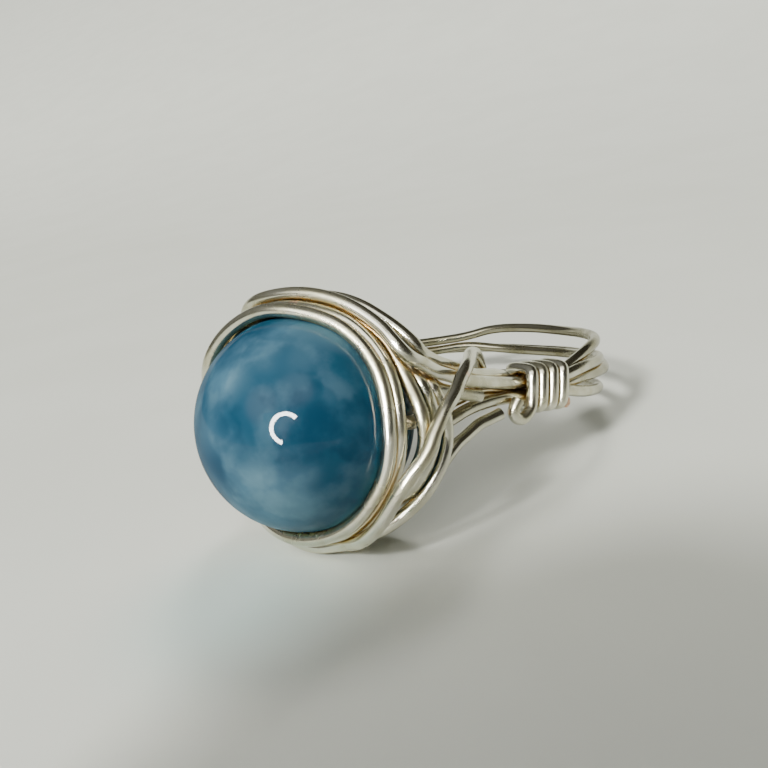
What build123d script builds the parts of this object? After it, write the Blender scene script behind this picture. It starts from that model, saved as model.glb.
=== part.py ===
from build123d import *
from math import atan2, copysign, cos, degrees, radians, sin, sqrt, tan
import os

# Wire-wrapped bead ring, laid on its side as it rests by itself.
# A round stone bead is threaded on the wire that makes the band. The wire goes round the finger in
# four strands, the strands rise round the bead on both sides, more turns are wound round the bead
# as a nest, and each shoulder is bound by a close coil.
# The ring is drawn with the finger hole along Z, the bead towards -Y, and the bead's drilled hole
# along X. At the end it is leaned back onto its two resting points and stood on Z = 0.

# Driving sizes, in millimetres
bead_diameter = 10.0
bead_hole_diameter = 1.05
hole_chamfer = 0.12
wire_diameter = 0.62
wire_gap = 0.03            # air between two wires that lie side by side
inner_diameter = 17.4      # finger hole
bead_seat = 0.85           # from the finger hole to the back of the bead
coil_turns = 4
coil_round = 58.5          # middle of a shoulder coil, in degrees round the finger from the bead
fillet_share = 0.45        # share of a run that one bend may take

bead_radius = bead_diameter / 2
wire_radius = wire_diameter / 2
inner_radius = inner_diameter / 2
pitch = wire_diameter + wire_gap
bead_reach = inner_radius + bead_seat + bead_radius
skin = bead_radius + wire_gap + wire_radius


def on_bead(clock, lift, back):
    """A wire's centre beside the bead: degrees clockwise from the top as seen from the front,
    pitches clear of the bead's skin, and pitches behind the bead's widest circle."""
    reach = skin + lift * pitch
    behind = back * pitch
    out = sqrt(reach ** 2 - behind ** 2)
    return Vector(out * sin(radians(clock)), behind - bead_reach, out * cos(radians(clock)))


def on_band(around, layer, height):
    """A wire's centre on the band: degrees round the finger from the bead, pitches outside the
    innermost layer, and pitches above the middle of the band."""
    out = inner_radius + wire_radius + layer * pitch
    return Vector(out * sin(radians(around)), -out * cos(radians(around)), height * pitch)


def corners_through(points, closed=False):
    """Corners whose rounded path passes through the given points: a rounded corner is cut by an
    eighth of each neighbour, so each corner is pushed out until the cut ends on its point."""
    corners = list(points)
    count = len(points)
    for _ in range(12):
        pushed = list(corners)
        for i in range(count):
            if closed or 0 < i < count - 1:
                cut = (corners[i - 1] + corners[i] * 6 + corners[(i + 1) % count]) * 0.125
                pushed[i] = corners[i] + points[i] - cut
        corners = pushed
    return corners


def bend_radii(corners, closed=False):
    """The largest bend that each corner's two runs allow."""
    count = len(corners)
    radii = []
    for i in range(count):
        if closed or 0 < i < count - 1:
            run_in = corners[i] - corners[i - 1]
            run_out = corners[(i + 1) % count] - corners[i]
            turn = radians(run_in.get_angle(run_out))
            radii.append(fillet_share * min(run_in.length, run_out.length) / tan(turn / 2))
    return radii


def round_wire(corners, closed=False):
    """A round wire along straight runs joined by tangent arcs. A closed one is parted by a hair
    at its first bend, where its two ends meet out of sight."""
    path = FilletPolyline(*corners, radius=bend_radii(corners, closed), close=closed)
    if closed:
        path = path.trim(0, 1 - wire_gap / path.length)
    start = Plane(origin=path @ 0, z_dir=path % 0)
    return sweep(start * Circle(wire_radius), path=path)


# Each table below follows one wire through its bends, one row a bend.
# Rows of "bead" hold clock, lift, back, and rows of "band" hold around, layer, height.
def bends(rows):
    place = {"bead": on_bead, "band": on_band}
    return [place[where](*sizes) for where, *sizes in rows]


# The nest, first turns: two turns round the front of the bead, cut off at the lower left.
front_turns = [
    ("bead", 262, 1.05, 1.35), ("bead", 275, 1.00, 0.90), ("bead", 288, 0.60, -0.30),
    ("bead", 303, 0.35, -1.30), ("bead", 320, 0.25, -1.60), ("bead", 340, 0.15, -2.00),
    ("bead", 0, 0.12, -2.20), ("bead", 25, 0.05, -1.80), ("bead", 45, 0.02, -1.55),
    ("bead", 65, 0.00, -1.75), ("bead", 88, 0.00, -2.15), ("bead", 110, 0.00, -2.15),
    ("bead", 133, 0.00, -2.25), ("bead", 155, 0.00, -2.15), ("bead", 178, 0.02, -1.90),
    ("bead", 200, 0.05, -1.10), ("bead", 222, 0.30, 0.20), ("bead", 243, 0.90, 1.10),
    ("bead", 262, 1.10, 2.45), ("bead", 280, 0.95, 1.90), ("bead", 300, 0.40, 0.50),
    ("bead", 320, 0.10, -0.45), ("bead", 340, 0.02, -0.95), ("bead", 0, 0.02, -1.12),
    ("bead", 25, 0.04, -0.75), ("bead", 45, 0.02, -0.50), ("bead", 65, 0.00, -0.70),
    ("bead", 88, 0.00, -1.10), ("bead", 110, 0.00, -1.10), ("bead", 133, 0.00, -1.20),
    ("bead", 155, 0.00, -1.10), ("bead", 178, 0.02, -0.85), ("bead", 198, 0.05, -0.05),
    ("bead", 211, 0.12, 0.72), ("bead", 222, 0.20, 1.38),
]

# The nest, middle turn and the wire that crosses the right shoulder: it is hooked over the strands,
# runs down across the nest, under the bead, up the left side and once more round.
crossing_turn = [
    ("band", 38, 0.95, 2.10), ("band", 36.5, 1.75, 3.10), ("band", 34.8, 2.85, 3.75),
    ("band", 33, 3.95, 3.90), ("band", 31.9, 5.35, 3.62), ("bead", 73, 3.70, 4.46),
    ("bead", 76, 3.25, 3.23), ("bead", 80, 2.91, 1.80),
    ("bead", 84, 2.50, 0.70), ("bead", 91, 2.10, -0.30), ("bead", 99, 1.90, -1.10),
    ("bead", 108, 1.50, -1.90), ("bead", 118, 1.20, -2.10), ("bead", 132, 1.15, -1.95),
    ("bead", 148, 1.05, -1.35), ("bead", 165, 0.80, -0.25), ("bead", 183, 0.95, 0.00),
    ("bead", 206, 1.15, 0.95), ("bead", 228, 1.60, 2.10), ("bead", 247, 2.05, 2.75),
    ("bead", 265, 2.15, 2.90), ("bead", 285, 1.80, 2.50), ("bead", 300, 0.85, 1.80),
    ("bead", 320, 0.20, 0.75), ("bead", 340, 0.02, 0.15), ("bead", 0, 0.02, 0.00),
    ("bead", 25, 0.05, 0.30), ("bead", 45, 0.22, 0.70), ("bead", 58, 0.25, 0.60),
    ("bead", 72, 0.45, 0.35), ("bead", 83, 0.95, 0.00), ("bead", 95, 1.05, 0.20),
    ("bead", 108, 0.70, 0.40), ("bead", 125, 0.10, 0.35), ("bead", 145, 0.00, 0.50),
    ("bead", 165, 0.02, 0.75), ("bead", 185, 0.05, 1.05), ("bead", 200, 0.05, 1.35),
]

# The nest, back turns: from the cut tip that lies on the right shoulder, over the top and down the
# left, twice round behind the other turns, and cut off at the top.
back_turns = [
    ("band", 34.5, 4.18, 0.80), ("band", 29.5, 5.19, 1.29), ("bead", 77, 1.37, 4.08),
    ("bead", 69, 0.95, 4.35), ("bead", 58, 0.45, 4.50),
    ("bead", 43, 0.20, 4.10), ("bead", 25, 0.10, 3.95), ("bead", 0, 0.05, 3.90),
    ("bead", 335, 0.10, 4.00), ("bead", 317, 0.40, 4.10), ("bead", 300, 1.15, 4.30),
    ("bead", 285, 1.90, 4.35), ("bead", 270, 2.20, 4.30), ("bead", 250, 2.00, 4.20),
    ("bead", 230, 1.50, 3.40), ("bead", 208, 1.15, 2.30), ("bead", 185, 1.02, 1.62),
    ("bead", 165, 0.92, 1.30), ("bead", 148, 1.05, 0.95), ("bead", 134, 1.30, 1.45),
    ("bead", 122, 1.60, 2.30), ("bead", 110, 1.80, 3.10), ("bead", 98, 1.80, 3.60),
    ("bead", 86, 1.60, 3.20), ("bead", 77, 1.20, 2.85), ("bead", 69, 0.75, 2.95),
    ("bead", 57, 0.35, 3.05), ("bead", 43, 0.05, 3.05), ("bead", 25, 0.05, 2.90),
    ("bead", 0, 0.05, 2.85), ("bead", 335, 0.05, 2.75), ("bead", 317, 0.20, 2.70),
    ("bead", 300, 0.70, 3.00), ("bead", 285, 1.10, 3.35), ("bead", 268, 1.15, 3.50),
    ("bead", 250, 0.95, 3.40), ("bead", 230, 0.50, 3.00), ("bead", 208, 0.10, 2.50),
    ("bead", 180, 0.05, 2.10), ("bead", 155, 0.02, 1.95), ("bead", 135, 0.20, 1.65),
    ("bead", 118, 0.70, 1.35), ("bead", 102, 1.05, 2.10), ("bead", 88, 1.05, 2.10),
    ("bead", 75, 0.80, 1.80), ("bead", 66, 0.35, 1.85), ("bead", 57, 0.20, 2.00),
    ("bead", 43, 0.10, 2.00), ("bead", 25, 0.02, 1.85), ("bead", 8, 0.02, 1.80),
]

# The strand that goes highest: over the top of the nest, then round the finger.
high_strand = [
    ("band", 301.5, 0.92, 1.03), ("band", 309.2, 1.06, 1.16), ("band", 315.1, 1.28, 2.02),
    ("band", 320.8, 1.70, 2.85), ("band", 326.2, 2.31, 3.50), ("band", 331.1, 3.01, 4.23),
    ("bead", 311, 1.90, 4.80), ("bead", 322, 1.35, 3.40), ("bead", 335, 0.95, 1.90),
    ("bead", 347, 0.62, 1.12), ("bead", 5, 0.62, 0.95), ("bead", 25, 0.92, 1.05),
    ("bead", 43, 1.15, 1.50), ("bead", 55, 1.45, 1.90), ("bead", 61.3, 1.52, 2.45),
    ("bead", 65.3, 1.80, 3.60), ("band", 26, 6.05, 3.55), ("band", 31.7, 3.95, 2.62),
    ("band", 36.6, 2.57, 2.15), ("band", 43.6, 1.07, 1.75), ("band", 50.2, 0.05, 1.06),
    ("band", 58.5, -0.08, 1.03), ("band", 66.8, 0.06, 1.06), ("band", 76, 0.20, 1.70), ("band", 88, 0.50, 2.60),
    ("band", 102, 0.60, 3.10), ("band", 120, 0.20, 3.30), ("band", 141, 0.00, 3.35),
    ("band", 160, 0.00, 3.50), ("band", 178, 0.00, 3.40), ("band", 191, 0.00, 2.75),
    ("band", 204, 0.00, 2.35), ("band", 217, 0.00, 2.15), ("band", 234, 0.30, 2.10),
    ("band", 252, 0.80, 1.80), ("band", 270, 1.05, 1.35), ("band", 284, 1.07, 1.10),
    ("band", 293.8, 1.06, 1.03),
]

# The strand whose loop stands clear at the upper left of the bead.
loop_strand = [
    ("band", 301.5, -0.08, 1.03), ("band", 309.8, 0.07, 1.03), ("band", 315.5, 0.72, 1.10),
    ("band", 320.5, 1.95, 1.62), ("band", 324.9, 3.11, 2.60), ("band", 328.7, 4.33, 3.54),
    ("bead", 297, 2.60, 4.60), ("bead", 305, 2.00, 3.30), ("bead", 317, 1.45, 2.20),
    ("bead", 330, 1.15, 0.60), ("bead", 345, 0.95, -0.50), ("bead", 5, 0.86, -0.55),
    ("bead", 25, 0.95, -0.30), ("bead", 43, 1.10, -0.15), ("bead", 55, 1.30, -0.30),
    ("bead", 62, 1.39, 0.29), ("bead", 65.7, 1.50, 1.35), ("bead", 70, 1.80, 2.55),
    ("bead", 73, 2.32, 3.94), ("band", 30.8, 5.34, 2.21), ("band", 35.3, 3.95, 1.79),
    ("band", 41.4, 2.55, 1.39), ("band", 50.8, 1.11, 1.03), ("band", 58.5, 0.93, 1.03),
    ("band", 66.2, 1.07, 1.04), ("band", 78, 1.20, 1.50), ("band", 92, 1.10, 1.60), ("band", 108, 0.60, 1.52),
    ("band", 126, 0.05, 1.20), ("band", 142, 0.00, 1.10), ("band", 160, 0.00, 1.10),
    ("band", 176, 0.00, 1.30), ("band", 191, 0.00, 1.60), ("band", 204, 0.00, 1.30),
    ("band", 217, 0.00, 1.08), ("band", 234, 0.00, 1.05), ("band", 252, 0.00, 1.05),
    ("band", 270, 0.00, 1.05), ("band", 284, 0.02, 1.03), ("band", 293.2, 0.07, 1.03),
]

# The strand that runs under the bead, lowest on the band: the ring rests on it at the back.
low_height = -1.50         # in pitches, where it lies flattest at the back
low_strand = [
    ("band", 301.5, -0.08, -0.03), ("band", 309.8, 0.07, -0.04), ("band", 317.2, 0.61, -0.58),
    ("band", 323.9, 1.36, -1.16), ("band", 330, 2.31, -1.73), ("band", 335.3, 3.42, -2.31),
    ("bead", 243, 0.20, 5.00), ("bead", 225, 0.02, 4.20), ("bead", 202, 0.02, 3.50),
    ("bead", 180, 0.05, 3.15), ("bead", 158, 0.05, 3.10), ("bead", 135, 0.10, 3.00),
    ("bead", 115, 0.40, 3.40), ("bead", 101, 0.70, 4.30), ("band", 26.4, 4.85, -0.85),
    ("band", 31.5, 3.65, -0.25), ("band", 36.1, 2.82, 0.00), ("band", 42, 2.00, 0.08),
    ("band", 50.8, 1.07, -0.04), ("band", 58.5, 0.92, -0.03), ("band", 66.2, 1.06, -0.06),
    ("band", 78, 1.10, -0.60),
    ("band", 92, 1.00, -0.90), ("band", 108, 0.50, -1.10), ("band", 126, 0.05, -1.30),
    ("band", 150, 0.00, low_height), ("band", 170, 0.00, low_height),
    ("band", 190, 0.00, low_height), ("band", 210, 0.00, low_height), ("band", 232, 0.00, -1.20),
    ("band", 252, 0.00, -0.70), ("band", 270, 0.00, -0.20), ("band", 284, 0.02, -0.02),
    ("band", 293.2, 0.07, -0.03),
]

# The threaded strand: out of the bead's hole on both sides and back along the bead to the band.
# The first and last rows are corners on the hole's axis, so the stretch in the hole stays straight.
threaded_strand = [
    ("bead", 90, 0.00, 0.00), ("bead", 89, 0.05, 2.20), ("bead", 89, 0.29, 3.40),
    ("bead", 88, 0.61, 4.60), ("band", 28.6, 3.66, 0.52), ("band", 34.7, 2.20, 0.88),
    ("band", 41.9, 1.01, 0.60), ("band", 50.2, 0.07, -0.03), ("band", 58.5, -0.08, -0.03),
    ("band", 66.8, 0.07, -0.03), ("band", 80, 0.55, 0.45), ("band", 94, 1.10, 0.55),
    ("band", 109, 1.30, 0.60), ("band", 126, 1.15, 1.00), ("band", 143, 1.10, 1.10),
    ("band", 160, 1.10, 1.10), ("band", 176, 1.10, 1.20), ("band", 192, 1.10, 1.28),
    ("band", 208, 1.12, 1.15), ("band", 225, 1.15, 0.80), ("band", 242, 1.15, 0.45),
    ("band", 258, 1.10, 0.15), ("band", 273, 1.08, 0.02), ("band", 284, 1.07, -0.02),
    ("band", 293.8, 1.05, -0.03), ("band", 301.5, 0.92, -0.03), ("band", 309.2, 1.05, -0.03),
    ("band", 315.6, 1.52, 0.02), ("band", 321.6, 2.17, 0.04), ("band", 327, 2.98, 0.06),
    ("band", 331.9, 3.93, 0.08), ("bead", 272, 0.40, 4.60), ("bead", 272, 0.10, 3.40),
    ("bead", 271, 0.05, 2.20), ("bead", 270, 0.00, 0.00),
]

# The nest's tail: up from under the bead to the right shoulder, its end pushed in beside the strands
nest_tail = [
    ("bead", 162, 0.05, 4.30), ("bead", 149, 0.60, 4.30), ("bead", 136, 1.25, 3.95),
    ("bead", 124, 1.60, 3.95), ("band", 27.3, 4.85, -2.89), ("band", 30.9, 3.95, -2.11),
    ("band", 34.4, 3.22, -1.51), ("band", 38, 2.75, -1.20), ("band", 41.3, 2.45, -0.95),
]

# Where the four strands lie together under a coil, two by two, and how the coil goes round them
bundle_spread = 0.53 * pitch                                    # from its middle to each strand
bundle_radius = inner_radius + wire_radius + 0.42 * pitch       # its middle, from the finger's
bundle_height = pitch / 2
coil_clear = pitch + wire_gap                                   # from a strand to the coil's wire
coil_advance = 1.03 * pitch                                    # each turn, along the strands
coil_step = 45.0                                                # one bend each step, in degrees
coil_first = -67.5                                              # the first bend, from the outside


def in_coil(along, out, up):
    """A point by the right coil: along the strands, outwards and upwards from their middle."""
    turn = radians(coil_round)
    reach = bundle_radius + out
    return Vector(reach * sin(turn) + along * cos(turn),
                  along * sin(turn) - reach * cos(turn), bundle_height + up)


def coil_bends():
    """The coil's bends: quarter circles round the four strands, one pitch further each turn."""
    points = []
    for i in range(round(360 / coil_step) * coil_turns + 1):
        turned = coil_first + i * coil_step
        across, rise = cos(radians(turned)), sin(radians(turned))
        out = copysign(bundle_spread, across) + coil_clear * across
        up = copysign(bundle_spread, rise) + coil_clear * rise
        along = (i * coil_step / 360 - coil_turns / 2) * coil_advance
        points.append(in_coil(along, out, up))
    return points


# The right coil's wire starts with a loop turned back at the lower left. Rows hold pitches along,
# outwards and upwards from the middle of the strands.
start_loop = [
    (-3.50, 1.88, -0.50), (-3.92, 1.76, -1.15), (-3.74, 1.70, -1.80), (-3.12, 1.68, -2.05),
    (-2.44, 1.62, -1.72),
]
loop_bends = [in_coil(*(size * pitch for size in row)) for row in start_loop] + coil_bends()[1:]
right_coil = round_wire(corners_through(loop_bends))
left_coil = round_wire(corners_through([Vector(-p.X, p.Y, p.Z) for p in coil_bends()]))

bead = Sphere(bead_radius) - Cylinder(bead_hole_diameter / 2, 2 * bead_diameter)
bead = chamfer(bead.edges().filter_by(GeomType.CIRCLE), hole_chamfer)
bead = Pos(0, -bead_reach, 0) * Rot(0, 90, 0) * bead

pieces = {
    "bead": bead,
    "threaded_strand": round_wire(corners_through(bends(threaded_strand)), closed=True),
    "high_strand": round_wire(corners_through(bends(high_strand), True), closed=True),
    "loop_strand": round_wire(corners_through(bends(loop_strand), True), closed=True),
    "low_strand": round_wire(corners_through(bends(low_strand), True), closed=True),
    "front_turns": round_wire(corners_through(bends(front_turns))),
    "crossing_turn": round_wire(corners_through(bends(crossing_turn))),
    "back_turns": round_wire(corners_through(bends(back_turns))),
    "nest_tail": round_wire(corners_through(bends(nest_tail))),
    "right_coil": right_coil,
    "left_coil": left_coil,
}

# The ring leans on the lowest back turn under the bead and on the low strand at the back.
front_rest = on_bead(180, 0.90, 1.40)
back_rest = on_band(180, 0.00, low_height)
lean = degrees(atan2(back_rest.Z - front_rest.Z, back_rest.Y - front_rest.Y))
leaned = {name: Rot(-lean, 0, 0) * piece for name, piece in pieces.items()}
boxes = [piece.bounding_box() for piece in leaned.values()]
left, right = min(b.min.X for b in boxes), max(b.max.X for b in boxes)
front, rear = min(b.min.Y for b in boxes), max(b.max.Y for b in boxes)
stand = Pos(-(left + right) / 2, -(front + rear) / 2, -min(b.min.Z for b in boxes))

os.makedirs("parts", exist_ok=True)
for name, piece in leaned.items():
    export_step(stand * piece, f"parts/{name}.step")
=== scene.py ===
import math

import bmesh
import bpy
from mathutils import Matrix, Vector


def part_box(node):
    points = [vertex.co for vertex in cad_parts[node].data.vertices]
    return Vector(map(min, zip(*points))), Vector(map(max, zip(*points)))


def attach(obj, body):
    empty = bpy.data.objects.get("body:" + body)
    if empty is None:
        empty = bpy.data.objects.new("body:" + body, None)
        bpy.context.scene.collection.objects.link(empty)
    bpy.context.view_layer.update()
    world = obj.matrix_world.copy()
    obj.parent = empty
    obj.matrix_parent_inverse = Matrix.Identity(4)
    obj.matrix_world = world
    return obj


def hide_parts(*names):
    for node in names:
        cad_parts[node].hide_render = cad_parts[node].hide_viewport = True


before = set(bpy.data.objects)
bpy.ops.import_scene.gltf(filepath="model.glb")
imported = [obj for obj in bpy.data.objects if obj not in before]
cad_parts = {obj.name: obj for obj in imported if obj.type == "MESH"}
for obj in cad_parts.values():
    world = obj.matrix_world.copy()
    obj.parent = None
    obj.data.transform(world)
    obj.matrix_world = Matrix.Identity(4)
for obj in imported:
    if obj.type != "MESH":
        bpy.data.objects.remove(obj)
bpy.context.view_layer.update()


# Camera. Held close, a little above the ring and to its right, rolled to the left.
# It stands this far from the middle of the bead and is then slid right and up.
bead_low, bead_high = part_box("bead")
bead_middle = Vector([(a + b) / 2 for a, b in zip(bead_low, bead_high)])
view_turn, view_rise, view_roll = math.radians(30.76), math.radians(18.23), math.radians(-9.87)
view_standoff, view_slide_right, view_slide_up = 0.0360, 0.003609, 0.001738

view_back = Vector((math.sin(view_turn) * math.cos(view_rise),
                    -math.cos(view_turn) * math.cos(view_rise), math.sin(view_rise)))
view_level = Vector((math.cos(view_turn), math.sin(view_turn), 0))
view_upright = view_back.cross(view_level)
view_right = view_level * math.cos(view_roll) + view_upright * math.sin(view_roll)
view_up = view_upright * math.cos(view_roll) - view_level * math.sin(view_roll)

camera = bpy.data.objects.new("camera", bpy.data.cameras.new("camera"))
camera.data.sensor_width = 36.0
camera.data.lens = 36.69
camera.data.clip_start = 0.001
camera.matrix_world = Matrix((
    (view_right.x, view_up.x, view_back.x, 0),
    (view_right.y, view_up.y, view_back.y, 0),
    (view_right.z, view_up.z, view_back.z, 0),
    (0, 0, 0, 1)))
camera.matrix_world.translation = (bead_middle + view_back * view_standoff
                                   + view_right * view_slide_right + view_up * view_slide_up)
bpy.context.collection.objects.link(camera)
bpy.context.scene.camera = camera


# Mottle. A soft-edged patchy mask for the surfaces below: the stone's clouds, the wire's tarnish
# and the board's unevenness differ only in the size of the patches and in where they begin.
mottle = bpy.data.node_groups.new("mottle", "ShaderNodeTree")
mottle.interface.new_socket("Place", in_out="INPUT", socket_type="NodeSocketVector")
for socket_name in ("Patches per Metre", "Detail", "Begins", "Ends"):
    mottle.interface.new_socket(socket_name, in_out="INPUT", socket_type="NodeSocketFloat")
mottle.interface.new_socket("Mask", in_out="OUTPUT", socket_type="NodeSocketFloat")
entry, way_out = mottle.nodes.new("NodeGroupInput"), mottle.nodes.new("NodeGroupOutput")
patches = mottle.nodes.new("ShaderNodeTexNoise")
patches.inputs["Roughness"].default_value = 0.5
edge = mottle.nodes.new("ShaderNodeMapRange")
edge.interpolation_type = "SMOOTHERSTEP"
mottle.links.new(entry.outputs["Place"], patches.inputs["Vector"])
mottle.links.new(entry.outputs["Patches per Metre"], patches.inputs["Scale"])
mottle.links.new(entry.outputs["Detail"], patches.inputs["Detail"])
mottle.links.new(patches.outputs["Fac"], edge.inputs["Value"])
mottle.links.new(entry.outputs["Begins"], edge.inputs["From Min"])
mottle.links.new(entry.outputs["Ends"], edge.inputs["From Max"])
mottle.links.new(edge.outputs["Result"], way_out.inputs["Mask"])


def add_mottle(nodes, patches_per_metre, detail, begins, ends):
    """The mottle group, placed in a material with its own size of patch and its own edge."""
    placed = nodes.new("ShaderNodeGroup")
    placed.node_tree = mottle
    placed.inputs["Patches per Metre"].default_value = patches_per_metre
    placed.inputs["Detail"].default_value = detail
    placed.inputs["Begins"].default_value = begins
    placed.inputs["Ends"].default_value = ends
    return placed


# Surface. A large sheet of pale matt board that lies flat under the ring and curves gently up
# behind it, so that it fills the view. A painted blue pool of light lies on it in front of the bead.
board_half_width = 2.0
board_front, board_bend_starts = -1.0, 0.10
board_bend_radius, board_slope = 0.60, math.radians(24)
board_bend_steps, board_back_run = 24, 1.5

board_line = [(board_front, 0.0), (board_bend_starts, 0.0)]
for i in range(1, board_bend_steps + 1):
    bent = board_slope * i / board_bend_steps
    board_line.append((board_bend_starts + board_bend_radius * math.sin(bent),
                       board_bend_radius * (1 - math.cos(bent))))
board_line.append((board_line[-1][0] + board_back_run * math.cos(board_slope),
                   board_line[-1][1] + board_back_run * math.sin(board_slope)))
board_form = bmesh.new()
board_sides = [[board_form.verts.new((side, y, z)) for y, z in board_line]
               for side in (-board_half_width, board_half_width)]
for i in range(len(board_line) - 1):
    board_form.faces.new((board_sides[0][i], board_sides[1][i],
                          board_sides[1][i + 1], board_sides[0][i + 1]))
board_mesh = bpy.data.meshes.new("board")
board_form.to_mesh(board_mesh)
board_form.free()
board_mesh.shade_smooth()
board = bpy.data.objects.new("board", board_mesh)
bpy.context.collection.objects.link(board)

board_finish = bpy.data.materials.new("pale_board")
board_finish.use_nodes = True
nodes, links = board_finish.node_tree.nodes, board_finish.node_tree.links
board_shader = nodes["Principled BSDF"]
board_shader.inputs["Roughness"].default_value = 0.7
board_shader.inputs["Specular IOR Level"].default_value = 0.25
board_place = nodes.new("ShaderNodeTexCoord")
board_shade = add_mottle(nodes, patches_per_metre=55.0, detail=3.0, begins=0.30, ends=0.70)
board_tone = nodes.new("ShaderNodeMix")
board_tone.data_type = "RGBA"
board_tone.inputs["A"].default_value = (0.612, 0.632, 0.574, 1)
board_tone.inputs["B"].default_value = (0.632, 0.652, 0.594, 1)
# Painted light: the board's colour turns blue near this spot and fades out by 8 mm from it, for the
# light the bead lets through.
painted_blue_light_spot = (-0.0015, -0.0150, 0)
from_bead = nodes.new("ShaderNodeVectorMath")
from_bead.operation = "DISTANCE"
from_bead.inputs[1].default_value = painted_blue_light_spot
painted_blue_light_fade = nodes.new("ShaderNodeMapRange")
painted_blue_light_fade.interpolation_type = "SMOOTHSTEP"
painted_blue_light_fade.inputs["From Min"].default_value = 0.001
painted_blue_light_fade.inputs["From Max"].default_value = 0.008
painted_blue_light_tone = nodes.new("ShaderNodeMix")
painted_blue_light_tone.data_type = "RGBA"
painted_blue_light_tone.inputs["A"].default_value = (0.480, 0.575, 0.545, 1)
links.new(board_place.outputs["Object"], board_shade.inputs["Place"])
links.new(board_shade.outputs["Mask"], board_tone.inputs["Factor"])
links.new(board_place.outputs["Object"], from_bead.inputs[0])
links.new(from_bead.outputs["Value"], painted_blue_light_fade.inputs["Value"])
links.new(painted_blue_light_fade.outputs["Result"], painted_blue_light_tone.inputs["Factor"])
links.new(board_tone.outputs["Result"], painted_blue_light_tone.inputs["B"])
links.new(painted_blue_light_tone.outputs["Result"], board_shader.inputs["Base Color"])
board_mesh.materials.append(board_finish)


# Light. A dim warm room whose soft glows show in the wire, two windows that cast the shadows and
# an arc of bright tube that shows in the bead. A dark slab keeps light off the board in front.
room = bpy.data.worlds.new("room")
room.use_nodes = True
nodes, links = room.node_tree.nodes, room.node_tree.links
room_place = nodes.new("ShaderNodeTexCoord")


def room_direction(turn, rise):
    """Towards a place in the room: degrees round from +X and degrees up."""
    turn, rise = math.radians(turn), math.radians(rise)
    return Vector((math.cos(turn) * math.cos(rise), math.sin(turn) * math.cos(rise), math.sin(rise)))


room_tone = (0.040, 0.035, 0.024, 1)
for glow_turn, glow_rise, glow_wide, glow_tone in (
        (195, 56, 66, (0.23, 0.23, 0.217, 1)),
        (256, 38, 23, (4.60, 4.57, 4.30, 1)),
        (300, 52, 24, (2.80, 2.78, 2.62, 1))):
    toward = nodes.new("ShaderNodeVectorMath")
    toward.operation = "DOT_PRODUCT"
    toward.inputs[1].default_value = room_direction(glow_turn, glow_rise)
    fade = nodes.new("ShaderNodeMapRange")
    fade.interpolation_type = "SMOOTHSTEP"
    fade.inputs["From Min"].default_value = math.cos(math.radians(glow_wide))
    fade.inputs["From Max"].default_value = 1.0
    glow = nodes.new("ShaderNodeMix")
    glow.data_type = "RGBA"
    glow.inputs["B"].default_value = glow_tone
    if isinstance(room_tone, tuple):
        glow.inputs["A"].default_value = room_tone
    else:
        links.new(room_tone, glow.inputs["A"])
    links.new(room_place.outputs["Generated"], toward.inputs[0])
    links.new(toward.outputs["Value"], fade.inputs["Value"])
    links.new(fade.outputs["Result"], glow.inputs["Factor"])
    room_tone = glow.outputs["Result"]
links.new(room_tone, nodes["Background"].inputs["Color"])
bpy.context.scene.world = room

for window_name, window_turn, window_rise, window_away, window_half, window_watts in (
        ("window_left", 261, 35, 3.0, 0.24, 570.0),
        ("window_behind", 102, 53, 3.0, 0.38, 148.0)):
    window = bpy.data.objects.new(window_name, bpy.data.lights.new(window_name, "POINT"))
    window.data.shadow_soft_size = window_half
    window.data.energy = window_watts
    window.data.color = (1.0, 0.99, 0.95)
    window.location = room_direction(window_turn, window_rise) * window_away
    window.visible_glossy = False
    bpy.context.collection.objects.link(window)

# The shade slab is dark, stands behind the lens and reaches right. It shades the board and shows
# in the wire, but the camera doesn't see it. Its sides are measured from the lens.
slab_left, slab_right, slab_low, slab_high, slab_behind = -0.031, 0.110, -0.014, 0.0068, 0.004
slab_mesh = bpy.data.meshes.new("shade_slab")
slab_form = bmesh.new()
slab_corners = [camera.matrix_world @ Vector((right, up, slab_behind)) for right, up in (
    (slab_left, slab_low), (slab_right, slab_low), (slab_right, slab_high), (slab_left, slab_high))]
slab_form.faces.new([slab_form.verts.new(corner) for corner in slab_corners])
slab_form.to_mesh(slab_mesh)
slab_form.free()
shade_slab = bpy.data.objects.new("shade_slab", slab_mesh)
bpy.context.collection.objects.link(shade_slab)
slab_finish = bpy.data.materials.new("dark_slab")
slab_finish.use_nodes = True
slab_shader = slab_finish.node_tree.nodes["Principled BSDF"]
slab_shader.inputs["Base Color"].default_value = (0.02, 0.02, 0.02, 1)
slab_shader.inputs["Roughness"].default_value = 0.5
slab_mesh.materials.append(slab_finish)
shade_slab.visible_camera = False

# The tube is placed by its mirror image in the bead: the middle of the image and its radius, in
# bead radii right of and above the middle of the bead, as the camera sees it.
tube_image_right, tube_image_up, tube_image_radius = -0.150, -0.05, 0.115
tube_away, tube_thickness = 0.034, 0.0024
tube_opens, tube_closes, tube_steps, tube_sides = 47.0, 256.0, 40, 12
tube_view = (camera.matrix_world.translation - bead_middle).normalized()
tube_normal = (view_right * tube_image_right + view_up * tube_image_up
               + tube_view * math.sqrt(1 - tube_image_right ** 2 - tube_image_up ** 2))
tube_toward = (2 * tube_normal.dot(tube_view) * tube_normal - tube_view).normalized()
tube_middle = bead_middle + tube_toward * tube_away
tube_radius = tube_away * math.tan(2 * math.asin(tube_image_radius))
tube_across = (view_right - tube_toward * view_right.dot(tube_toward)).normalized()
tube_above = tube_toward.cross(tube_across)
tube_form = bmesh.new()
tube_loops = []
for i in range(tube_steps + 1):
    turned = math.radians(tube_opens + (tube_closes - tube_opens) * i / tube_steps)
    outward = tube_across * math.cos(turned) + tube_above * math.sin(turned)
    tube_loops.append([tube_form.verts.new(
        tube_middle + outward * (tube_radius + tube_thickness / 2 * math.cos(side))
        + tube_toward * tube_thickness / 2 * math.sin(side))
        for side in (2 * math.pi * k / tube_sides for k in range(tube_sides))])
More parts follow.
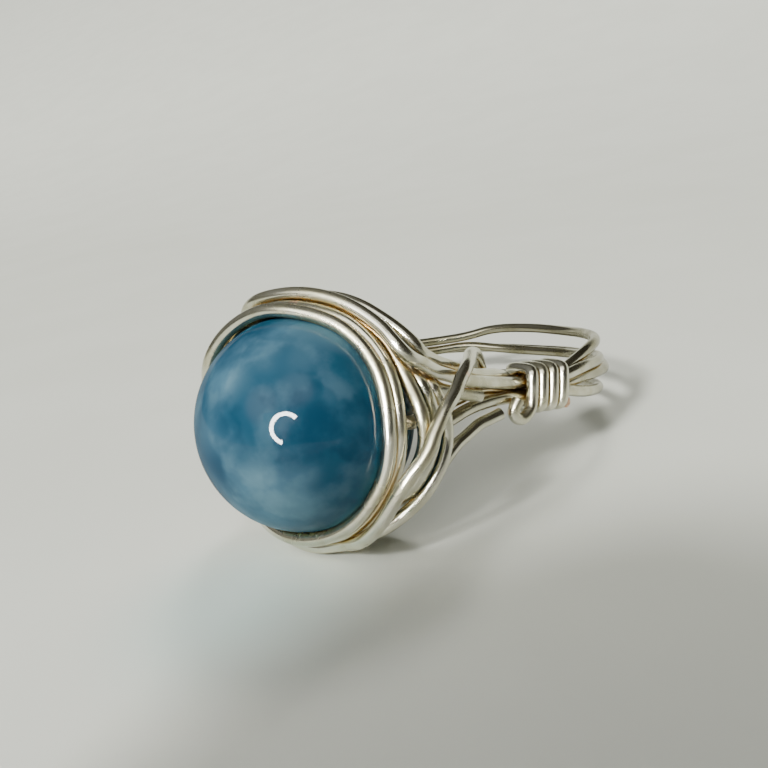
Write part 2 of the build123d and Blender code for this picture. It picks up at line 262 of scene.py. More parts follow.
for here, there in zip(tube_loops, tube_loops[1:]):
    for k in range(tube_sides):
        tube_form.faces.new((here[k - 1], here[k], there[k], there[k - 1]))
for closed_end in (tube_loops[0], tube_loops[-1]):
    tube_form.faces.new(closed_end)
tube_mesh = bpy.data.meshes.new("lamp_tube")
tube_form.to_mesh(tube_mesh)
tube_form.free()
tube = bpy.data.objects.new("lamp_tube", tube_mesh)
bpy.context.collection.objects.link(tube)
tube.visible_diffuse = False
tube.visible_camera = False
tube_glow = bpy.data.materials.new("tube_glow")
tube_glow.use_nodes = True
tube_shader = tube_glow.node_tree.nodes["Principled BSDF"]
tube_shader.inputs["Base Color"].default_value = (0.9, 0.9, 0.9, 1)
tube_shader.inputs["Emission Color"].default_value = (1.0, 0.99, 0.96, 1)
tube_shader.inputs["Emission Strength"].default_value = 320.0
tube_mesh.materials.append(tube_glow)


# Bead. One round bead of angelite, a cloudy blue stone, tumbled to a high polish and drilled
# through from side to side. The hole's two mouths are lightly countersunk.
bead_radius = 0.0050
bead_hole_radius = 0.000525
bead_hole_bevel = 0.00012
bead_rings = 96
bead_steps = 160

bead_profile = []
bead_mouth = math.asin((bead_hole_radius + bead_hole_bevel) / bead_radius)
for i in range(bead_rings + 1):
    turned = bead_mouth + (math.pi - 2 * bead_mouth) * i / bead_rings
    bead_profile.append((bead_radius * math.cos(turned), bead_radius * math.sin(turned)))
hole_end = bead_profile[0][0] - bead_hole_bevel
bead_profile = [(hole_end, bead_hole_radius)] + bead_profile + [(-hole_end, bead_hole_radius)]

bead_form = bmesh.new()
bead_loops = []
for along, out in bead_profile:
    bead_loops.append([bead_form.verts.new((
        bead_middle.x + along,
        bead_middle.y + out * math.cos(2 * math.pi * k / bead_steps),
        bead_middle.z + out * math.sin(2 * math.pi * k / bead_steps))) for k in range(bead_steps)])
for here, there in zip(bead_loops, bead_loops[1:] + bead_loops[:1]):
    for k in range(bead_steps):
        bead_form.faces.new((here[k], here[k - 1], there[k - 1], there[k]))
bmesh.ops.recalc_face_normals(bead_form, faces=bead_form.faces)
bead_mesh = bpy.data.meshes.new("polished_bead")
bead_form.to_mesh(bead_mesh)
bead_form.free()
bead_mesh.shade_smooth()
polished_bead = bpy.data.objects.new("polished_bead", bead_mesh)
bpy.context.collection.objects.link(polished_bead)

# Two layers of pale cloud over the deep blue, large soft ones and smaller wisps, and thin dark
# veins. The big clouds are moved a millimetre left and up, to about where the real bead has them.
angelite = bpy.data.materials.new("angelite")
angelite.use_nodes = True
nodes, links = angelite.node_tree.nodes, angelite.node_tree.links
angelite_shader = nodes["Principled BSDF"]
angelite_shader.inputs["Roughness"].default_value = 0.35
angelite_shader.inputs["IOR"].default_value = 1.50
angelite_shader.inputs["Specular IOR Level"].default_value = 0.0
angelite_shader.inputs["Coat Weight"].default_value = 0.25
angelite_shader.inputs["Coat Roughness"].default_value = 0.03
stone_place = nodes.new("ShaderNodeTexCoord")
big_clouds = add_mottle(nodes, patches_per_metre=250.0, detail=1.6, begins=0.42, ends=0.78)
wisps = add_mottle(nodes, patches_per_metre=540.0, detail=4.0, begins=0.40, ends=0.75)
veins = add_mottle(nodes, patches_per_metre=400.0, detail=3.5, begins=0.44, ends=0.56)
both_clouds = nodes.new("ShaderNodeMix")
both_clouds.data_type = "FLOAT"
both_clouds.inputs["Factor"].default_value = 0.28
stone_tone = nodes.new("ShaderNodeMix")
stone_tone.data_type = "RGBA"
stone_tone.inputs["A"].default_value = (0.012, 0.053, 0.093, 1)
stone_tone.inputs["B"].default_value = (0.112, 0.214, 0.274, 1)
vein_tone = nodes.new("ShaderNodeMix")
vein_tone.data_type = "RGBA"
vein_tone.blend_type = "MULTIPLY"
vein_tone.inputs["Factor"].default_value = 0.7
vein_dark = nodes.new("ShaderNodeMix")
vein_dark.data_type = "RGBA"
vein_dark.inputs["A"].default_value = (0.45, 0.62, 0.72, 1)
vein_dark.inputs["B"].default_value = (1, 1, 1, 1)
cloud_move = 0.001
clouds_moved = nodes.new("ShaderNodeMapping")
clouds_moved.inputs["Location"].default_value = (cloud_move, 0, -cloud_move)
links.new(stone_place.outputs["Object"], clouds_moved.inputs["Vector"])
links.new(clouds_moved.outputs["Vector"], big_clouds.inputs["Place"])
links.new(stone_place.outputs["Object"], wisps.inputs["Place"])
links.new(stone_place.outputs["Object"], veins.inputs["Place"])
links.new(big_clouds.outputs["Mask"], both_clouds.inputs["A"])
links.new(wisps.outputs["Mask"], both_clouds.inputs["B"])
links.new(both_clouds.outputs["Result"], stone_tone.inputs["Factor"])
links.new(veins.outputs["Mask"], vein_dark.inputs["Factor"])
links.new(stone_tone.outputs["Result"], vein_tone.inputs["A"])
links.new(vein_dark.outputs["Result"], vein_tone.inputs["B"])
links.new(vein_tone.outputs["Result"], angelite_shader.inputs["Base Color"])
bead_mesh.materials.append(angelite)
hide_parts("bead")
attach(polished_bead, "root")


# The wire, drawn once for every wire below. Soft copper wire, silver plated, 0.62 mm thick. Each
# table follows one wire through its bends, and the tree draws a round wire through them.
# Rows of "bead": degrees clockwise from the top as seen from the front, pitches clear of the
# bead's skin, pitches behind its widest circle. Rows of "band": degrees round the finger from the
# bead, pitches outside the innermost layer, pitches above the middle of the band.
wire_diameter = 0.00062
wire_gap = 0.00003
inner_radius = 0.0087
bead_seat = 0.00085
pitch = wire_diameter + wire_gap
bead_reach = inner_radius + bead_seat + bead_radius
skin = bead_radius + wire_gap + wire_diameter / 2
lean = math.radians(-12.158)
wire_sides, wire_steps_per_diameter, wire_corner_rounds = 24, 5, 12


def stand_up(spot):
    """A place in the ring's own frame, measured from the middle of the bead, in the row frame."""
    return bead_middle + Matrix.Rotation(lean, 3, "X") @ spot


def place_bend(where, first, second, third):
    """A bend's place in the row frame, from its row."""
    if where == "bead":
        behind = third * pitch
        out = math.sqrt((skin + second * pitch) ** 2 - behind ** 2)
        return stand_up(Vector((out * math.sin(math.radians(first)), behind,
                                out * math.cos(math.radians(first)))))
    out = inner_radius + wire_diameter / 2 + second * pitch
    return stand_up(Vector((out * math.sin(math.radians(first)),
                            bead_reach - out * math.cos(math.radians(first)), third * pitch)))


def push_corners(points, closed=False):
    """The control points of a smooth line that passes through the points. A quadratic line passes
    each control point at six eighths of that point and an eighth of each neighbour."""
    corners = list(points)
    count = len(points)
    for _ in range(wire_corner_rounds):
        pushed = list(corners)
        for i in range(count):
            if closed or 0 < i < count - 1:
                cut = (corners[i - 1] + corners[i] * 6 + corners[(i + 1) % count]) / 8
                pushed[i] = corners[i] + points[i] - cut
        corners = pushed
    return corners


wire_tree = bpy.data.node_groups.new("drawn_wire", "GeometryNodeTree")
wire_sockets = wire_tree.interface
wire_sockets.new_socket("Path", in_out="INPUT", socket_type="NodeSocketGeometry")
wire_diameter_socket = wire_sockets.new_socket("Diameter", in_out="INPUT", socket_type="NodeSocketFloat")
wire_step_socket = wire_sockets.new_socket("Step", in_out="INPUT", socket_type="NodeSocketFloat")
wire_sides_socket = wire_sockets.new_socket("Sides", in_out="INPUT", socket_type="NodeSocketInt")
wire_finish_socket = wire_sockets.new_socket("Finish", in_out="INPUT", socket_type="NodeSocketMaterial")
wire_sockets.new_socket("Wire", in_out="OUTPUT", socket_type="NodeSocketGeometry")
wire_nodes, wire_links = wire_tree.nodes, wire_tree.links
entry, way_out = wire_nodes.new("NodeGroupInput"), wire_nodes.new("NodeGroupOutput")
stepped = wire_nodes.new("GeometryNodeResampleCurve")
stepped.mode = "LENGTH"
along = wire_nodes.new("GeometryNodeSplineParameter")
keep_along = wire_nodes.new("GeometryNodeStoreNamedAttribute")
keep_along.data_type, keep_along.domain = "FLOAT", "POINT"
keep_along.inputs["Name"].default_value = "along"
around = wire_nodes.new("GeometryNodeSplineParameter")
keep_around = wire_nodes.new("GeometryNodeStoreNamedAttribute")
keep_around.data_type, keep_around.domain = "FLOAT", "POINT"
keep_around.inputs["Name"].default_value = "around"
section = wire_nodes.new("GeometryNodeCurvePrimitiveCircle")
halve = wire_nodes.new("ShaderNodeMath")
halve.operation = "MULTIPLY"
halve.inputs[1].default_value = 0.5
skinned = wire_nodes.new("GeometryNodeCurveToMesh")
skinned.inputs["Fill Caps"].default_value = True
smooth = wire_nodes.new("GeometryNodeSetShadeSmooth")
real = wire_nodes.new("GeometryNodeRealizeInstances")
coat = wire_nodes.new("GeometryNodeSetMaterial")
wire_links.new(entry.outputs["Path"], stepped.inputs["Curve"])
wire_links.new(entry.outputs["Step"], stepped.inputs["Length"])
wire_links.new(stepped.outputs["Curve"], keep_along.inputs["Geometry"])
wire_links.new(along.outputs["Length"], keep_along.inputs["Value"])
wire_links.new(entry.outputs["Diameter"], halve.inputs[0])
wire_links.new(halve.outputs[0], section.inputs["Radius"])
wire_links.new(entry.outputs["Sides"], section.inputs["Resolution"])
wire_links.new(section.outputs["Curve"], keep_around.inputs["Geometry"])
wire_links.new(around.outputs["Factor"], keep_around.inputs["Value"])
wire_links.new(keep_along.outputs["Geometry"], skinned.inputs["Curve"])
wire_links.new(keep_around.outputs["Geometry"], skinned.inputs["Profile Curve"])
wire_links.new(skinned.outputs["Mesh"], smooth.inputs["Geometry"])
wire_links.new(smooth.outputs["Geometry"], real.inputs["Geometry"])
wire_links.new(real.outputs["Geometry"], coat.inputs["Geometry"])
wire_links.new(entry.outputs["Finish"], coat.inputs["Material"])
wire_links.new(coat.outputs["Geometry"], way_out.inputs["Wire"])

# The plating is satin rather than mirror bright: faint marks of the drawing die run along it,
# it is dull and yellow in patches and darker and greyer round the back of the band, brown where
# wires lie close, which is partly tarnish and partly painted shade and warm reflection, and worn to
# copper in places.
plated = bpy.data.materials.new("silver_plated_copper")
plated.use_nodes = True
nodes, links = plated.node_tree.nodes, plated.node_tree.links
plated_shader = nodes["Principled BSDF"]
plated_shader.inputs["Metallic"].default_value = 1.0
place = nodes.new("ShaderNodeTexCoord")
tarnish = add_mottle(nodes, patches_per_metre=420.0, detail=3.0, begins=0.38, ends=0.68)
tarnish_tone = nodes.new("ShaderNodeMix")
tarnish_tone.data_type = "RGBA"
tarnish_tone.inputs["A"].default_value = (0.70, 0.685, 0.575, 1)
tarnish_tone.inputs["B"].default_value = (0.49, 0.470, 0.335, 1)
place_parts = nodes.new("ShaderNodeSeparateXYZ")
band_back = nodes.new("ShaderNodeMapRange")
band_back.interpolation_type = "SMOOTHSTEP"
band_back.inputs["From Min"].default_value = 0.0022
band_back.inputs["From Max"].default_value = 0.0044
band_tone = nodes.new("ShaderNodeMix")
band_tone.data_type = "RGBA"
band_tone.blend_type = "MULTIPLY"
band_tone.inputs["B"].default_value = (0.52, 0.505, 0.44, 1)
# Partly tarnish, partly painted shade and reflection: the colour turns warm brown where wires lie close.
nook = nodes.new("ShaderNodeAmbientOcclusion")
nook.samples = 8
nook.inputs["Distance"].default_value = 0.0009
tarnish_and_painted_shade_mask = nodes.new("ShaderNodeMapRange")
tarnish_and_painted_shade_mask.interpolation_type = "SMOOTHSTEP"
tarnish_and_painted_shade_mask.inputs["From Min"].default_value = 0.10
tarnish_and_painted_shade_mask.inputs["From Max"].default_value = 0.62
tarnish_and_painted_shade_tone = nodes.new("ShaderNodeMix")
tarnish_and_painted_shade_tone.data_type = "RGBA"
tarnish_and_painted_shade_tone.inputs["A"].default_value = (0.62, 0.46, 0.20, 1)
worn = add_mottle(nodes, patches_per_metre=900.0, detail=2.0, begins=0.70, ends=0.78)
worn_tone = nodes.new("ShaderNodeMix")
worn_tone.data_type = "RGBA"
worn_tone.inputs["B"].default_value = (0.80, 0.56, 0.42, 1)
dullness = nodes.new("ShaderNodeMapRange")
dullness.inputs["To Min"].default_value = 0.20
dullness.inputs["To Max"].default_value = 0.30
along_wire = nodes.new("ShaderNodeAttribute")
along_wire.attribute_name = "along"
around_wire = nodes.new("ShaderNodeAttribute")
around_wire.attribute_name = "around"
on_skin = nodes.new("ShaderNodeCombineXYZ")
die_marks = nodes.new("ShaderNodeTexNoise")
die_marks.inputs["Scale"].default_value = 1.0
die_marks.inputs["Detail"].default_value = 2.0
die_spread = nodes.new("ShaderNodeVectorMath")
die_spread.operation = "MULTIPLY"
die_spread.inputs[1].default_value = (260.0, 34.0, 1.0)
die_bump = nodes.new("ShaderNodeBump")
die_bump.inputs["Strength"].default_value = 0.25
die_bump.inputs["Distance"].default_value = 0.000012
links.new(place.outputs["Object"], tarnish.inputs["Place"])
links.new(place.outputs["Object"], worn.inputs["Place"])
links.new(tarnish.outputs["Mask"], tarnish_tone.inputs["Factor"])
links.new(nook.outputs["AO"], tarnish_and_painted_shade_mask.inputs["Value"])
links.new(tarnish_and_painted_shade_mask.outputs["Result"], tarnish_and_painted_shade_tone.inputs["Factor"])
links.new(place.outputs["Object"], place_parts.inputs["Vector"])
links.new(place_parts.outputs["Y"], band_back.inputs["Value"])
links.new(band_back.outputs["Result"], band_tone.inputs["Factor"])
links.new(tarnish_tone.outputs["Result"], band_tone.inputs["A"])
links.new(band_tone.outputs["Result"], tarnish_and_painted_shade_tone.inputs["B"])
links.new(tarnish_and_painted_shade_tone.outputs["Result"], worn_tone.inputs["A"])
links.new(worn.outputs["Mask"], worn_tone.inputs["Factor"])
links.new(worn_tone.outputs["Result"], plated_shader.inputs["Base Color"])
links.new(tarnish.outputs["Mask"], dullness.inputs["Value"])
links.new(dullness.outputs["Result"], plated_shader.inputs["Roughness"])
links.new(along_wire.outputs["Fac"], on_skin.inputs["X"])
links.new(around_wire.outputs["Fac"], on_skin.inputs["Y"])
links.new(on_skin.outputs["Vector"], die_spread.inputs[0])
links.new(die_spread.outputs["Vector"], die_marks.inputs["Vector"])
links.new(die_marks.outputs["Fac"], die_bump.inputs["Height"])
links.new(die_bump.outputs["Normal"], plated_shader.inputs["Normal"])

snipped = bpy.data.materials.new("snipped_copper")
snipped.use_nodes = True
nodes, links = snipped.node_tree.nodes, snipped.node_tree.links
snipped_shader = nodes["Principled BSDF"]
snipped_shader.inputs["Metallic"].default_value = 1.0
snipped_shader.inputs["Roughness"].default_value = 0.42
snip_place = nodes.new("ShaderNodeTexCoord")
snip_marks = add_mottle(nodes, patches_per_metre=5200.0, detail=2.0, begins=0.35, ends=0.65)
snip_tone = nodes.new("ShaderNodeMix")
snip_tone.data_type = "RGBA"
snip_tone.inputs["A"].default_value = (0.62, 0.36, 0.24, 1)
snip_tone.inputs["B"].default_value = (0.80, 0.62, 0.48, 1)
links.new(snip_place.outputs["Object"], snip_marks.inputs["Place"])
links.new(snip_marks.outputs["Mask"], snip_tone.inputs["Factor"])
links.new(snip_tone.outputs["Result"], snipped_shader.inputs["Base Color"])


def draw_wire(name, node, corners, closed=False):
    """One wire along its control points, made a plain mesh that stands for its CAD node. The two
    flat ends, which are its only faces with more than four corners, are bare copper."""
    path = bpy.data.curves.new(name, "CURVE")
    path.dimensions = "3D"
    path.resolution_u = 12
    line = path.splines.new("NURBS")
    line.points.add(len(corners) - 1)
    for point, corner in zip(line.points, corners):
        point.co = (*corner, 1)
    line.use_cyclic_u = closed
    line.use_endpoint_u = not closed
    line.order_u = 3
    drawn = bpy.data.objects.new(name + "_path", path)
    bpy.context.collection.objects.link(drawn)
    tree = drawn.modifiers.new("drawn_wire", "NODES")
    tree.node_group = wire_tree
    tree[wire_diameter_socket.identifier] = wire_diameter
    tree[wire_step_socket.identifier] = wire_diameter / wire_steps_per_diameter
    tree[wire_sides_socket.identifier] = wire_sides
    tree[wire_finish_socket.identifier] = plated
    graph = bpy.context.evaluated_depsgraph_get()
    mesh = bpy.data.meshes.new_from_object(drawn.evaluated_get(graph), depsgraph=graph)
    drawn.modifiers.remove(tree)
    bpy.data.objects.remove(drawn)
    mesh.materials.append(snipped)
    for face in mesh.polygons:
        if len(face.vertices) > 4:
            face.material_index = 1
            face.use_smooth = False
    wire = bpy.data.objects.new(name, mesh)
    bpy.context.collection.objects.link(wire)
    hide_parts(node)
    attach(wire, "root")


# Threaded strand. It comes out of the bead's hole on both sides, turns back along the bead and
# goes once round the finger. Its first and last bends lie on the hole's axis.
threaded_strand = [
    ("bead", 90, 0.00, 0.00), ("bead", 89, 0.05, 2.20), ("bead", 89, 0.29, 3.40),
    ("bead", 88, 0.61, 4.60), ("band", 28.6, 3.66, 0.52), ("band", 34.7, 2.20, 0.88),
    ("band", 41.9, 1.01, 0.60), ("band", 50.2, 0.07, -0.03), ("band", 58.5, -0.08, -0.03),
    ("band", 66.8, 0.07, -0.03), ("band", 80, 0.55, 0.45), ("band", 94, 1.10, 0.55),
    ("band", 109, 1.30, 0.60), ("band", 126, 1.15, 1.00), ("band", 143, 1.10, 1.10),
    ("band", 160, 1.10, 1.10), ("band", 176, 1.10, 1.20), ("band", 192, 1.10, 1.28),
    ("band", 208, 1.12, 1.15), ("band", 225, 1.15, 0.80), ("band", 242, 1.15, 0.45),
    ("band", 258, 1.10, 0.15), ("band", 273, 1.08, 0.02), ("band", 284, 1.07, -0.02),
    ("band", 293.8, 1.05, -0.03), ("band", 301.5, 0.92, -0.03), ("band", 309.2, 1.05, -0.03),
    ("band", 315.6, 1.52, 0.02), ("band", 321.6, 2.17, 0.04), ("band", 327, 2.98, 0.06),
    ("band", 331.9, 3.93, 0.08), ("bead", 272, 0.40, 4.60), ("bead", 272, 0.10, 3.40),
    ("bead", 271, 0.05, 2.20), ("bead", 270, 0.00, 0.00),
]
draw_wire("threaded_wire", "threaded_strand",
          push_corners([place_bend(*row) for row in threaded_strand]), closed=True)


# High strand. One length of the plated wire, laid over the top of the nest and then highest round
# the finger. The shoulder coils bind it to the other strands.
high_strand = [
    ("band", 301.5, 0.92, 1.03), ("band", 309.2, 1.06, 1.16), ("band", 315.1, 1.28, 2.02),
    ("band", 320.8, 1.70, 2.85), ("band", 326.2, 2.31, 3.50), ("band", 331.1, 3.01, 4.23),
    ("bead", 311, 1.90, 4.80), ("bead", 322, 1.35, 3.40), ("bead", 335, 0.95, 1.90),
    ("bead", 347, 0.62, 1.12), ("bead", 5, 0.62, 0.95), ("bead", 25, 0.92, 1.05),
    ("bead", 43, 1.15, 1.50), ("bead", 55, 1.45, 1.90), ("bead", 61.3, 1.52, 2.45),
    ("bead", 65.3, 1.80, 3.60), ("band", 26, 6.05, 3.55), ("band", 31.7, 3.95, 2.62),
    ("band", 36.6, 2.57, 2.15), ("band", 43.6, 1.07, 1.75), ("band", 50.2, 0.05, 1.06),
    ("band", 58.5, -0.08, 1.03), ("band", 66.8, 0.06, 1.06), ("band", 76, 0.20, 1.70),
    ("band", 88, 0.50, 2.60), ("band", 102, 0.60, 3.10), ("band", 120, 0.20, 3.30),
    ("band", 141, 0.00, 3.35),
    ("band", 160, 0.00, 3.50), ("band", 178, 0.00, 3.40), ("band", 191, 0.00, 2.75),
    ("band", 204, 0.00, 2.35), ("band", 217, 0.00, 2.15), ("band", 234, 0.30, 2.10),
    ("band", 252, 0.80, 1.80), ("band", 270, 1.05, 1.35), ("band", 284, 1.07, 1.10),
    ("band", 293.8, 1.06, 1.03),
]
draw_wire("high_wire", "high_strand",
          push_corners([place_bend(*row) for row in high_strand], True), closed=True)


# Loop strand. One length of the plated wire. Its loop stands clear at the upper left of the bead,
# and then it is second from the top round the finger. The shoulder coils bind it to the others.
loop_strand = [
    ("band", 301.5, -0.08, 1.03), ("band", 309.8, 0.07, 1.03), ("band", 315.5, 0.72, 1.10),
    ("band", 320.5, 1.95, 1.62), ("band", 324.9, 3.11, 2.60), ("band", 328.7, 4.33, 3.54),
    ("bead", 297, 2.60, 4.60), ("bead", 305, 2.00, 3.30), ("bead", 317, 1.45, 2.20),
    ("bead", 330, 1.15, 0.60), ("bead", 345, 0.95, -0.50), ("bead", 5, 0.86, -0.55),
    ("bead", 25, 0.95, -0.30), ("bead", 43, 1.10, -0.15), ("bead", 55, 1.30, -0.30),
    ("bead", 62, 1.39, 0.29), ("bead", 65.7, 1.50, 1.35), ("bead", 70, 1.80, 2.55),
    ("bead", 73, 2.32, 3.94), ("band", 30.8, 5.34, 2.21), ("band", 35.3, 3.95, 1.79),
    ("band", 41.4, 2.55, 1.39), ("band", 50.8, 1.11, 1.03), ("band", 58.5, 0.93, 1.03),
    ("band", 66.2, 1.07, 1.04), ("band", 78, 1.20, 1.50), ("band", 92, 1.10, 1.60),
    ("band", 108, 0.60, 1.52), ("band", 126, 0.05, 1.20), ("band", 142, 0.00, 1.10),
    ("band", 160, 0.00, 1.10),
    ("band", 176, 0.00, 1.30), ("band", 191, 0.00, 1.60), ("band", 204, 0.00, 1.30),
    ("band", 217, 0.00, 1.08), ("band", 234, 0.00, 1.05), ("band", 252, 0.00, 1.05),
    ("band", 270, 0.00, 1.05), ("band", 284, 0.02, 1.03), ("band", 293.2, 0.07, 1.03),
]
draw_wire("loop_wire", "loop_strand",
          push_corners([place_bend(*row) for row in loop_strand], True), closed=True)


# Low strand. One length of the plated wire, bent under the bead and then lowest round the finger.
# The shoulder coils bind it to the other strands.
low_height = -1.50
low_strand = [
    ("band", 301.5, -0.08, -0.03), ("band", 309.8, 0.07, -0.04), ("band", 317.2, 0.61, -0.58),
    ("band", 323.9, 1.36, -1.16), ("band", 330, 2.31, -1.73), ("band", 335.3, 3.42, -2.31),
    ("bead", 243, 0.20, 5.00), ("bead", 225, 0.02, 4.20), ("bead", 202, 0.02, 3.50),
    ("bead", 180, 0.05, 3.15), ("bead", 158, 0.05, 3.10), ("bead", 135, 0.10, 3.00),
    ("bead", 115, 0.40, 3.40), ("bead", 101, 0.70, 4.30), ("band", 26.4, 4.85, -0.85),
    ("band", 31.5, 3.65, -0.25), ("band", 36.1, 2.82, 0.00), ("band", 42, 2.00, 0.08),
    ("band", 50.8, 1.07, -0.04), ("band", 58.5, 0.92, -0.03), ("band", 66.2, 1.06, -0.06),
    ("band", 78, 1.10, -0.60),
    ("band", 92, 1.00, -0.90), ("band", 108, 0.50, -1.10), ("band", 126, 0.05, -1.30),
    ("band", 150, 0.00, low_height), ("band", 170, 0.00, low_height),
    ("band", 190, 0.00, low_height), ("band", 210, 0.00, low_height), ("band", 232, 0.00, -1.20),
    ("band", 252, 0.00, -0.70), ("band", 270, 0.00, -0.20), ("band", 284, 0.02, -0.02),
    ("band", 293.2, 0.07, -0.03),
]
draw_wire("low_wire", "low_strand",
          push_corners([place_bend(*row) for row in low_strand], True), closed=True)


# Front turns. Plated wire wound twice round the front of the bead, tight against it, and cut off at
# the lower left.
front_turns = [
    ("bead", 262, 1.05, 1.35), ("bead", 275, 1.00, 0.90), ("bead", 288, 0.60, -0.30),
    ("bead", 303, 0.35, -1.30), ("bead", 320, 0.25, -1.60), ("bead", 340, 0.15, -2.00),
    ("bead", 0, 0.12, -2.20), ("bead", 25, 0.05, -1.80), ("bead", 45, 0.02, -1.55),
    ("bead", 65, 0.00, -1.75), ("bead", 88, 0.00, -2.15), ("bead", 110, 0.00, -2.15),
    ("bead", 133, 0.00, -2.25), ("bead", 155, 0.00, -2.15), ("bead", 178, 0.02, -1.90),
    ("bead", 200, 0.05, -1.10), ("bead", 222, 0.30, 0.20), ("bead", 243, 0.90, 1.10),
    ("bead", 262, 1.10, 2.45), ("bead", 280, 0.95, 1.90), ("bead", 300, 0.40, 0.50),
    ("bead", 320, 0.10, -0.45), ("bead", 340, 0.02, -0.95), ("bead", 0, 0.02, -1.12),
    ("bead", 25, 0.04, -0.75), ("bead", 45, 0.02, -0.50), ("bead", 65, 0.00, -0.70),
    ("bead", 88, 0.00, -1.10), ("bead", 110, 0.00, -1.10), ("bead", 133, 0.00, -1.20),
    ("bead", 155, 0.00, -1.10), ("bead", 178, 0.02, -0.85), ("bead", 198, 0.05, -0.05),
    ("bead", 211, 0.12, 0.72), ("bead", 222, 0.20, 1.38),
]
draw_wire("front_wire", "front_turns", push_corners([place_bend(*row) for row in front_turns]))


# Crossing turn. Plated wire hooked over the right shoulder's strands, drawn down across the nest,
# under the bead, up the left side and once more round.
crossing_turn = [
    ("band", 38, 0.95, 2.10), ("band", 36.5, 1.75, 3.10), ("band", 34.8, 2.85, 3.75),
    ("band", 33, 3.95, 3.90), ("band", 31.9, 5.35, 3.62), ("bead", 73, 3.70, 4.46),
    ("bead", 76, 3.25, 3.23), ("bead", 80, 2.91, 1.80),
    ("bead", 84, 2.50, 0.70), ("bead", 91, 2.10, -0.30), ("bead", 99, 1.90, -1.10),
    ("bead", 108, 1.50, -1.90), ("bead", 118, 1.20, -2.10), ("bead", 132, 1.15, -1.95),
    ("bead", 148, 1.05, -1.35), ("bead", 165, 0.80, -0.25), ("bead", 183, 0.95, 0.00),
    ("bead", 206, 1.15, 0.95), ("bead", 228, 1.60, 2.10), ("bead", 247, 2.05, 2.75),
    ("bead", 265, 2.15, 2.90), ("bead", 285, 1.80, 2.50), ("bead", 300, 0.85, 1.80),
    ("bead", 320, 0.20, 0.75), ("bead", 340, 0.02, 0.15), ("bead", 0, 0.02, 0.00),
    ("bead", 25, 0.05, 0.30), ("bead", 45, 0.22, 0.70), ("bead", 58, 0.25, 0.60),
    ("bead", 72, 0.45, 0.35), ("bead", 83, 0.95, 0.00), ("bead", 95, 1.05, 0.20),
    ("bead", 108, 0.70, 0.40), ("bead", 125, 0.10, 0.35), ("bead", 145, 0.00, 0.50),
    ("bead", 165, 0.02, 0.75), ("bead", 185, 0.05, 1.05), ("bead", 200, 0.05, 1.35),
]
draw_wire("crossing_wire", "crossing_turn",
          push_corners([place_bend(*row) for row in crossing_turn]))


# Back turns. Plated wire wound twice more round the bead, behind the other turns. It starts at the
# cut tip on the right shoulder.
back_turns = [
    ("band", 34.5, 4.18, 0.80), ("band", 29.5, 5.19, 1.29), ("bead", 77, 1.37, 4.08),
    ("bead", 69, 0.95, 4.35), ("bead", 58, 0.45, 4.50),
    ("bead", 43, 0.20, 4.10), ("bead", 25, 0.10, 3.95), ("bead", 0, 0.05, 3.90),
    ("bead", 335, 0.10, 4.00), ("bead", 317, 0.40, 4.10), ("bead", 300, 1.15, 4.30),
    ("bead", 285, 1.90, 4.35), ("bead", 270, 2.20, 4.30), ("bead", 250, 2.00, 4.20),
    ("bead", 230, 1.50, 3.40), ("bead", 208, 1.15, 2.30), ("bead", 185, 1.02, 1.62),
    ("bead", 165, 0.92, 1.30), ("bead", 148, 1.05, 0.95), ("bead", 134, 1.30, 1.45),
    ("bead", 122, 1.60, 2.30), ("bead", 110, 1.80, 3.10), ("bead", 98, 1.80, 3.60),
    ("bead", 86, 1.60, 3.20), ("bead", 77, 1.20, 2.85), ("bead", 69, 0.75, 2.95),
    ("bead", 57, 0.35, 3.05), ("bead", 43, 0.05, 3.05), ("bead", 25, 0.05, 2.90),
    ("bead", 0, 0.05, 2.85), ("bead", 335, 0.05, 2.75), ("bead", 317, 0.20, 2.70),
    ("bead", 300, 0.70, 3.00), ("bead", 285, 1.10, 3.35), ("bead", 268, 1.15, 3.50),
    ("bead", 250, 0.95, 3.40), ("bead", 230, 0.50, 3.00), ("bead", 208, 0.10, 2.50),
    ("bead", 180, 0.05, 2.10), ("bead", 155, 0.02, 1.95), ("bead", 135, 0.20, 1.65),
    ("bead", 118, 0.70, 1.35), ("bead", 102, 1.05, 2.10), ("bead", 88, 1.05, 2.10),
    ("bead", 75, 0.80, 1.80), ("bead", 66, 0.35, 1.85), ("bead", 57, 0.20, 2.00),
    ("bead", 43, 0.10, 2.00), ("bead", 25, 0.02, 1.85), ("bead", 8, 0.02, 1.80),
]
draw_wire("back_wire", "back_turns", push_corners([place_bend(*row) for row in back_turns]))


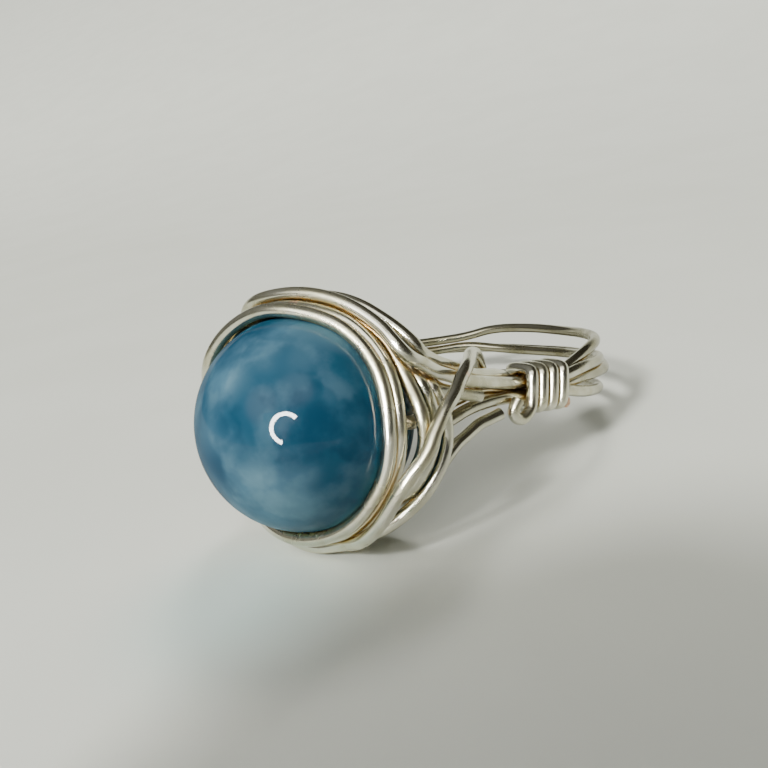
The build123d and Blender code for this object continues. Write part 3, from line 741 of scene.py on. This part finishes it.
# Nest tail. The nest's last end of plated wire, up from under the bead to the right shoulder's
# strands, where it is snipped off.
nest_tail = [
    ("bead", 162, 0.05, 4.30), ("bead", 149, 0.60, 4.30), ("bead", 136, 1.25, 3.95),
    ("bead", 124, 1.60, 3.95), ("band", 27.3, 4.85, -2.89), ("band", 30.9, 3.95, -2.11),
    ("band", 34.4, 3.22, -1.51), ("band", 38, 2.75, -1.20), ("band", 41.3, 2.45, -0.95),
]
draw_wire("tail_wire", "nest_tail", push_corners([place_bend(*row) for row in nest_tail]))


# Right coil. A short length wound four close turns round the right shoulder's strands, which lie
# two by two under it. It starts with a loop turned back at the lower left. Rows of the loop:
# pitches along the strands, outwards and upwards from their middle.
coil_turns, coil_round = 4, 58.5
bundle_spread = 0.53 * pitch
bundle_radius = inner_radius + wire_diameter / 2 + 0.42 * pitch
coil_clear = pitch + wire_gap
coil_advance = 1.03 * pitch
coil_first, coil_step = -67.5, 45.0


def in_coil(along, out, up):
    """A point by the right coil: along the strands, outwards and upwards from their middle."""
    turn = math.radians(coil_round)
    reach = bundle_radius + out
    return stand_up(Vector((reach * math.sin(turn) + along * math.cos(turn),
                            bead_reach + along * math.sin(turn) - reach * math.cos(turn),
                            pitch / 2 + up)))


coil_bends = []
for i in range(round(360 / coil_step) * coil_turns + 1):
    turned = math.radians(coil_first + i * coil_step)
    coil_bends.append(in_coil(
        (i * coil_step / 360 - coil_turns / 2) * coil_advance,
        math.copysign(bundle_spread, math.cos(turned)) + coil_clear * math.cos(turned),
        math.copysign(bundle_spread, math.sin(turned)) + coil_clear * math.sin(turned)))
start_loop = [
    (-3.50, 1.88, -0.50), (-3.92, 1.76, -1.15), (-3.74, 1.70, -1.80), (-3.12, 1.68, -2.05),
    (-2.44, 1.62, -1.72),
]
loop_bends = [in_coil(*(size * pitch for size in row)) for row in start_loop] + coil_bends[1:]
draw_wire("right_coil_wire", "right_coil", push_corners(loop_bends))


# Left coil. The same plated wire wound round the hidden shoulder's strands, in mirror image and
# without the loop.
left_bends = [Vector((2 * bead_middle.x - spot.x, spot.y, spot.z)) for spot in coil_bends]
draw_wire("left_coil_wire", "left_coil", push_corners(left_bends))
